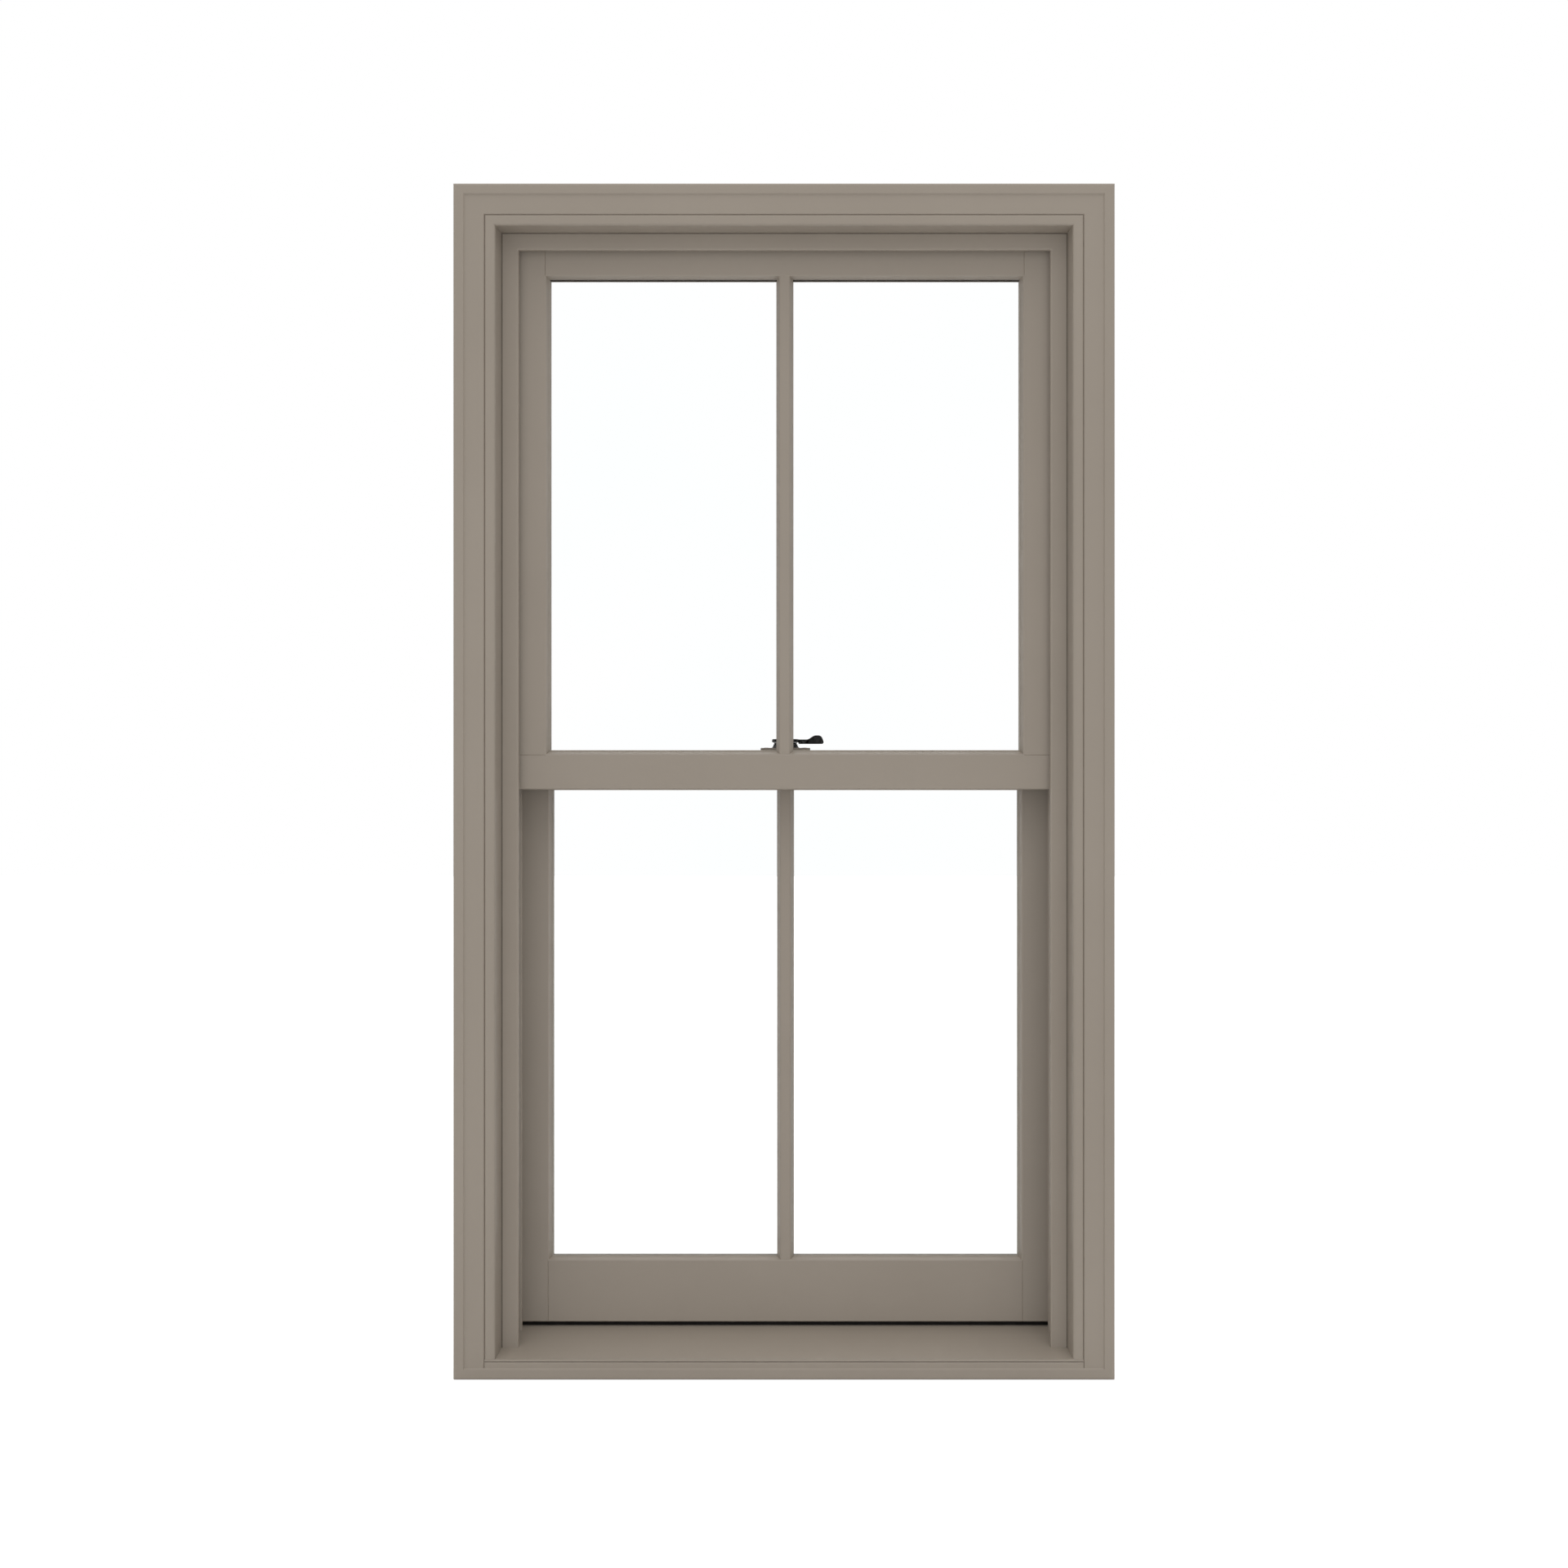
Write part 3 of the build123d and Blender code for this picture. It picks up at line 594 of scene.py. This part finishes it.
stop_edge = -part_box("left_outer_stop")[1].x
sash_edge = -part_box("upper_left_stile")[0].x
track_half = (stop_edge + sash_edge) / 2
track_top = (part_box("head_outer_stop")[0].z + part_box("upper_top_rail")[1].z) / 2
pile_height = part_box("upper_left_stile")[0].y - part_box("left_outer_stop")[1].y - PILE_CLEARANCE
lines = []
for stop, corner, way in (("outer", 1, 1), ("parting", 0, -1), ("parting", 1, 1), ("inside", 0, -1)):
    stop_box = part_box(f"left_{stop}_stop")
    y = stop_box[corner].y
    bottom = stop_box[0].z + PILE_FOOT_GAP
    for offset in PILE_ROWS:
        side, head = track_half + offset, track_top + offset
        lines.append(((-side, y, bottom), (-side, y, track_top), (0, way, 0)))
        lines.append(((side, y, bottom), (side, y, track_top), (0, way, 0)))
        lines.append(((-track_half, y, head), (track_half, y, head), (0, way, 0)))
frame_pile = pile_strip("frame_pile", lines, pile_height, seed=7)
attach(frame_pile, "frame")

rail_low, rail_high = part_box("lower_check_rail")
lip_half = stop_edge - LIP_END_GAP
lip_middle = (rail_low.z + rail_high.z) / 2
lip_height = rail_low.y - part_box("upper_check_rail")[1].y - PILE_CLEARANCE
lines = []
for offset in PILE_ROWS:
    z = lip_middle + offset
    lines.append(((-lip_half, rail_low.y, z), (lip_half, rail_low.y, z), (0, -1, 0)))
meeting_pile = pile_strip("meeting_pile", lines, lip_height, seed=11)
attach(meeting_pile, "lower_sash")


# Guide shoes and sill seal.
# Moulded black nylon blocks on the sash edges run in the liners' grooves, and a soft
# black rubber seal under the bottom rail closes down on the sill.

SHOE_DARK = screen_colour(34, 33, 32)
SHOE_PALE = screen_colour(42, 41, 40)
SEAL_DARK = screen_colour(14, 12, 10)
SEAL_PALE = screen_colour(22, 19, 16)

shoe_nylon = new_finish(
    "shoe_nylon",
    {"Specular IOR Level": 0.45},
    tints=(0.02, SHOE_DARK, SHOE_PALE),
    roughness=(0.004, 0.38, 0.5),
    relief=(0.0009, 0.00002),
)
dress(shoe_nylon, "upper_sash_shoes", "lower_sash_shoes")

seal_rubber = new_finish(
    "seal_rubber",
    {"Specular IOR Level": 0.15},
    tints=(0.03, SEAL_DARK, SEAL_PALE),
    roughness=(0.01, 0.6, 0.75),
    relief=(0.0008, 0.00002),
)
dress(seal_rubber, "sill_seal")


# Sash lock.
# A housing with a collar and a foot plate of paler bronze, screwed to the lower check rail, a lever
# riveted on its pin and a keeper on the upper check rail: soft edged castings, coated black.

COAT_DARK = screen_colour(6, 5, 5)
COAT_PALE = screen_colour(11, 10, 9)
FOOT_DARK = screen_colour(132, 123, 112)
FOOT_PALE = screen_colour(144, 135, 124)
CAST_GRAIN = 0.0004
CAST_SOFTNESS = 8
BASE_THICKNESS = 0.004
SCREW_OFFSET = 0.0238
SCREW_RADIUS = 0.0036
SCREW_RISE = 0.0004
SCREW_SLOT = 0.0009
HEAD_RINGS = 5
HEAD_SIDES = 24
ARM_ROOT = (0.0164, 0.0226)
ARM_WIDTH = 0.009
ARM_DEPTH = 0.0028
COLLAR_RADIUS = 0.0150
COLLAR_FLARE = 0.0022
COLLAR_BORE = 0.012
COLLAR_GAP = 0.0004
COLLAR_STEPS = 8
COLLAR_SIDES = 64
RIVET_RADIUS = 0.0052
RIVET_RISE = 0.0009
KEEPER_SCREW_RADIUS = 0.0013
KEEPER_SCREW_RISE = 0.0002
KEEPER_SCREW_SLOT = 0.0003
KEEPER_SCREW_OFFSET = 0.0064
KEEPER_SCREW_EDGE = 0.00169
KEEPER_PLATE = 0.0025

lock_coat = new_finish(
    "black_powder_coat",
    {"Specular IOR Level": 0.1},
    tints=(0.012, COAT_DARK, COAT_PALE),
    roughness=(0.006, 0.4, 0.52),
    relief=(0.0007, 0.00002),
)
foot_bronze = new_finish(
    "foot_bronze",
    {"Specular IOR Level": 0.3},
    tints=(0.012, FOOT_DARK, FOOT_PALE),
    roughness=(0.006, 0.42, 0.52),
    relief=(0.0007, 0.00002),
)


def soft_casting(node, body, web=None):
    """A copy of a casting with its edges rounded, as a mould leaves them, in place of the sharp one.

    A web is a block that thickens the casting, given as a matrix that places a unit cube.
    """
    builder = bmesh.new()
    builder.from_mesh(nodes[node].data)
    if web:
        bmesh.ops.create_cube(builder, size=1.0, matrix=web)
    casting = new_piece(f"soft_{node}", closed_mesh(f"soft_{node}", builder), lock_coat)
    even = casting.modifiers.new("even", "REMESH")
    even.mode = "VOXEL"
    even.voxel_size = CAST_GRAIN
    soft = casting.modifiers.new("soft", "SMOOTH")
    soft.factor = 0.5
    soft.iterations = CAST_SOFTNESS
    made = plain_mesh(casting)
    casting.modifiers.clear()
    casting.data = made
    for polygon in made.polygons:
        polygon.use_smooth = True
    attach(casting, body)
    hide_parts(node)
    return casting


def turned(name, outline, sides):
    """A piece turned about Z from a closed outline of radii and heights."""
    builder = bmesh.new()
    loops = []
    for radius, height in outline:
        turns = [2 * pi * side / sides for side in range(sides)]
        loops.append([builder.verts.new((radius * cos(a), radius * sin(a), height)) for a in turns])
    for loop, following in zip(loops, loops[1:] + loops[:1]):
        for side in range(sides):
            after = (side + 1) % sides
            builder.faces.new((loop[side], loop[after], following[after], following[side]))
    piece = new_piece(name, closed_mesh(name, builder), lock_coat)
    for polygon in piece.data.polygons:
        polygon.use_smooth = True
    return piece


def cross_bar(name, reach, half_width, bottom, height):
    """An upright bar with a cross for its section."""
    builder = bmesh.new()
    outline = []
    for quarter in range(4):
        turn = Matrix.Rotation(quarter * pi / 2, 3, "Z")
        for x, y in ((half_width, half_width), (half_width, reach), (-half_width, reach)):
            outline.append(builder.verts.new(turn @ Vector((x, y, bottom))))
    foot = builder.faces.new(outline)
    raised = bmesh.ops.extrude_face_region(builder, geom=[foot], use_keep_orig=True)["geom"]
    corners = [part for part in raised if isinstance(part, bmesh.types.BMVert)]
    bmesh.ops.translate(builder, verts=corners, vec=(0, 0, height))
    return closed_mesh(name, builder)


def dome(name, radius, rise, slot=0.0):
    """A low round head that stands on Z = 0, with a cross slot cut in it if it has one."""
    rings = [pi / 2 * ring / HEAD_RINGS for ring in range(HEAD_RINGS + 1)]
    head = turned(name, [(0, 0)] + [(radius * cos(a), rise * sin(a)) for a in rings], HEAD_SIDES)
    if slot:
        cross = cross_bar("cutter", radius / 2, slot / 2, rise / 2, rise)
        cutter = new_piece("cutter", cross, lock_coat)
        cut = head.modifiers.new("cut", "BOOLEAN")
        cut.object = cutter
        made = plain_mesh(head)
        head.modifiers.clear()
        head.data = made
        bpy.data.objects.remove(cutter)
    return head


base_low, pin_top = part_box("lock_housing")
lock_middle = (base_low + pin_top) / 2
screw_z = base_low.z + BASE_THICKNESS

housing = soft_casting("lock_housing", "lower_sash")
housing.data.materials.append(foot_bronze)
for polygon in housing.data.polygons:
    polygon.material_index = int(polygon.center.z < screw_z + CAST_GRAIN)

lever_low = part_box("lock_lever")[0]
root_start, root_end = ARM_ROOT
root_middle = Vector(((root_start + root_end) / 2, lock_middle.y, lever_low.z + ARM_DEPTH / 2))
root_size = (root_end - root_start, ARM_WIDTH, ARM_DEPTH, 1)
soft_casting("lock_lever", "lock_lever", Matrix.Translation(root_middle) @ Matrix.Diagonal(root_size))
soft_casting("lock_keeper", "upper_sash")

collar_height = lever_low.z - COLLAR_GAP - screw_z
waist = []
for step in range(COLLAR_STEPS + 1):
    share = step / COLLAR_STEPS
    waist.append((COLLAR_RADIUS + COLLAR_FLARE * (1 - share) ** 2, collar_height * share))
collar_outline = [(COLLAR_BORE, 0)] + waist + [(COLLAR_BORE, collar_height)]
collar = turned("lock_collar", collar_outline, COLLAR_SIDES)
collar.data.transform(Matrix.Translation((lock_middle.x, lock_middle.y, screw_z)))
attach(collar, "lower_sash")

screw_line = (
    (lock_middle.x - SCREW_OFFSET, lock_middle.y, screw_z),
    (lock_middle.x + SCREW_OFFSET, lock_middle.y, screw_z),
    (0, 0, 1),
)
screw = dome("screw", SCREW_RADIUS, SCREW_RISE, SCREW_SLOT)
lock_screws = stand_along("lock_screws", [screw_line], screw, 2 * SCREW_OFFSET, lock_coat)
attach(lock_screws, "lower_sash")

rivet = dome("lock_rivet", RIVET_RADIUS, RIVET_RISE)
rivet.data.transform(Matrix.Translation((lock_middle.x, lock_middle.y, pin_top.z)))
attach(rivet, "lower_sash")

keeper_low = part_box("lock_keeper")[0]
plate_y = keeper_low.y + KEEPER_SCREW_EDGE
plate_z = keeper_low.z + KEEPER_PLATE
keeper_line = (
    (lock_middle.x - KEEPER_SCREW_OFFSET, plate_y, plate_z),
    (lock_middle.x + KEEPER_SCREW_OFFSET, plate_y, plate_z),
    (0, 0, 1),
)
screw = dome("screw", KEEPER_SCREW_RADIUS, KEEPER_SCREW_RISE, KEEPER_SCREW_SLOT)
keeper_screws = stand_along("keeper_screws", [keeper_line], screw, 2 * KEEPER_SCREW_OFFSET, lock_coat)
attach(keeper_screws, "upper_sash")


# Floor and light.
# A pale floor that the camera sees as white, with a faint shadow, a white studio that is
# brightest overhead and behind the window, and a broad soft lamp above the camera.

FLOOR_HALF = 30.0
FLOOR_GAP = 0.0005
FLOOR_PALE = screen_colour(226, 226, 226)
FLOOR_LIFT = 0.6
STUDIO_SIDES = 0.27
STUDIO_FRONT = 0.84
STUDIO_BACK = 1.3
STUDIO_TOP = 1.4
LAMP_POWER = 22.0
LAMP_PLACE = (0.3, -2.4, 4.6)
LAMP_SIZE = 3.0


def seen_directly(tree):
    """1 for what the camera sees, also in a mirror or through glass, and 0 for soft light."""
    rays = tree.nodes.new("ShaderNodeLightPath").outputs
    mirrored = joined(tree, "MAXIMUM", rays["Is Glossy Ray"], rays["Is Transmission Ray"])
    return joined(tree, "MAXIMUM", rays["Is Camera Ray"], mirrored)


def wall_light(tree, along, before, behind):
    """The light of two facing walls of the studio, one at each end of an axis."""
    high_side = joined(tree, "GREATER_THAN", along, 0.0)
    level = joined(tree, "ADD", joined(tree, "MULTIPLY", high_side, behind - before), before)
    return joined(tree, "MULTIPLY", joined(tree, "MULTIPLY", along, along), level)


scene = bpy.context.scene
floor_z = cad_box[0].z - FLOOR_GAP
floor_mesh = bpy.data.meshes.new("floor")
corner_ways = ((-1, -1), (1, -1), (1, 1), (-1, 1))
floor_corners = [(x * FLOOR_HALF, y * FLOOR_HALF, floor_z) for x, y in corner_ways]
floor_mesh.from_pydata(floor_corners, [], [(0, 1, 2, 3)])
floor_paint = new_finish("floor_white", {"Base Color": FLOOR_PALE, "Roughness": 0.9})
tree = floor_paint.node_tree
bare = tree.nodes["Principled BSDF"].outputs["BSDF"]
glow = add_node(tree, "ShaderNodeEmission", {"Strength": FLOOR_LIFT})
lifted = tree.nodes.new("ShaderNodeAddShader")
tree.links.new(bare, lifted.inputs[0])
tree.links.new(glow.outputs["Emission"], lifted.inputs[1])
choose(tree, seen_directly(tree), bare, lifted.outputs["Shader"], tree.nodes["Material Output"])
floor = new_piece("floor", floor_mesh, floor_paint)

world = bpy.data.worlds.new("studio")
scene.world = world
world.use_nodes = True
tree = world.node_tree
tree.nodes.clear()
towards = tree.nodes.new("ShaderNodeTexCoord")
parts = tree.nodes.new("ShaderNodeSeparateXYZ")
tree.links.new(towards.outputs["Generated"], parts.inputs["Vector"])
sides = wall_light(tree, parts.outputs["X"], STUDIO_SIDES, STUDIO_SIDES)
depth = wall_light(tree, parts.outputs["Y"], STUDIO_FRONT, STUDIO_BACK)
height = wall_light(tree, parts.outputs["Z"], STUDIO_SIDES, STUDIO_TOP)
level = joined(tree, "ADD", joined(tree, "ADD", sides, depth), height)
soft = add_node(tree, "ShaderNodeBackground", {"Color": (1, 1, 1, 1)})
tree.links.new(level, soft.inputs["Strength"])
white = add_node(tree, "ShaderNodeBackground", {"Color": (1, 1, 1, 1), "Strength": 1.0})
world_out = tree.nodes.new("ShaderNodeOutputWorld")
choose(tree, seen_directly(tree), soft.outputs["Background"], white.outputs["Background"], world_out)

window_middle = (cad_box[0] + cad_box[1]) / 2
lamp_data = bpy.data.lights.new("soft_lamp", "AREA")
lamp_data.energy = LAMP_POWER
lamp_data.size = LAMP_SIZE
lamp = bpy.data.objects.new("soft_lamp", lamp_data)
lamp.location = LAMP_PLACE
lamp.rotation_euler = (window_middle - lamp.location).to_track_quat("-Z", "Y").to_euler()
scene.collection.objects.link(lamp)


# Camera.
# Square on to the outside face, level with the middle of the frame and a hand's breadth to
# its right, and far enough back that the sides of the frame hardly show.

CAMERA_DISTANCE = 5.5
CAMERA_SIDE = 0.08
CAMERA_HEIGHT = 0.722
VIEW_WIDTH = 1.92
SENSOR = 36.0

camera_data = bpy.data.cameras.new("camera")
camera_data.sensor_width = SENSOR
camera_data.lens = SENSOR * CAMERA_DISTANCE / VIEW_WIDTH
camera_data.shift_x = -CAMERA_SIDE / VIEW_WIDTH
camera = bpy.data.objects.new("camera", camera_data)
camera.location = (CAMERA_SIDE, cad_box[0].y - CAMERA_DISTANCE, CAMERA_HEIGHT)
camera.rotation_euler = (radians(90), 0, 0)
scene.collection.objects.link(camera)
scene.camera = camera
scene.view_settings.view_transform = "Standard"
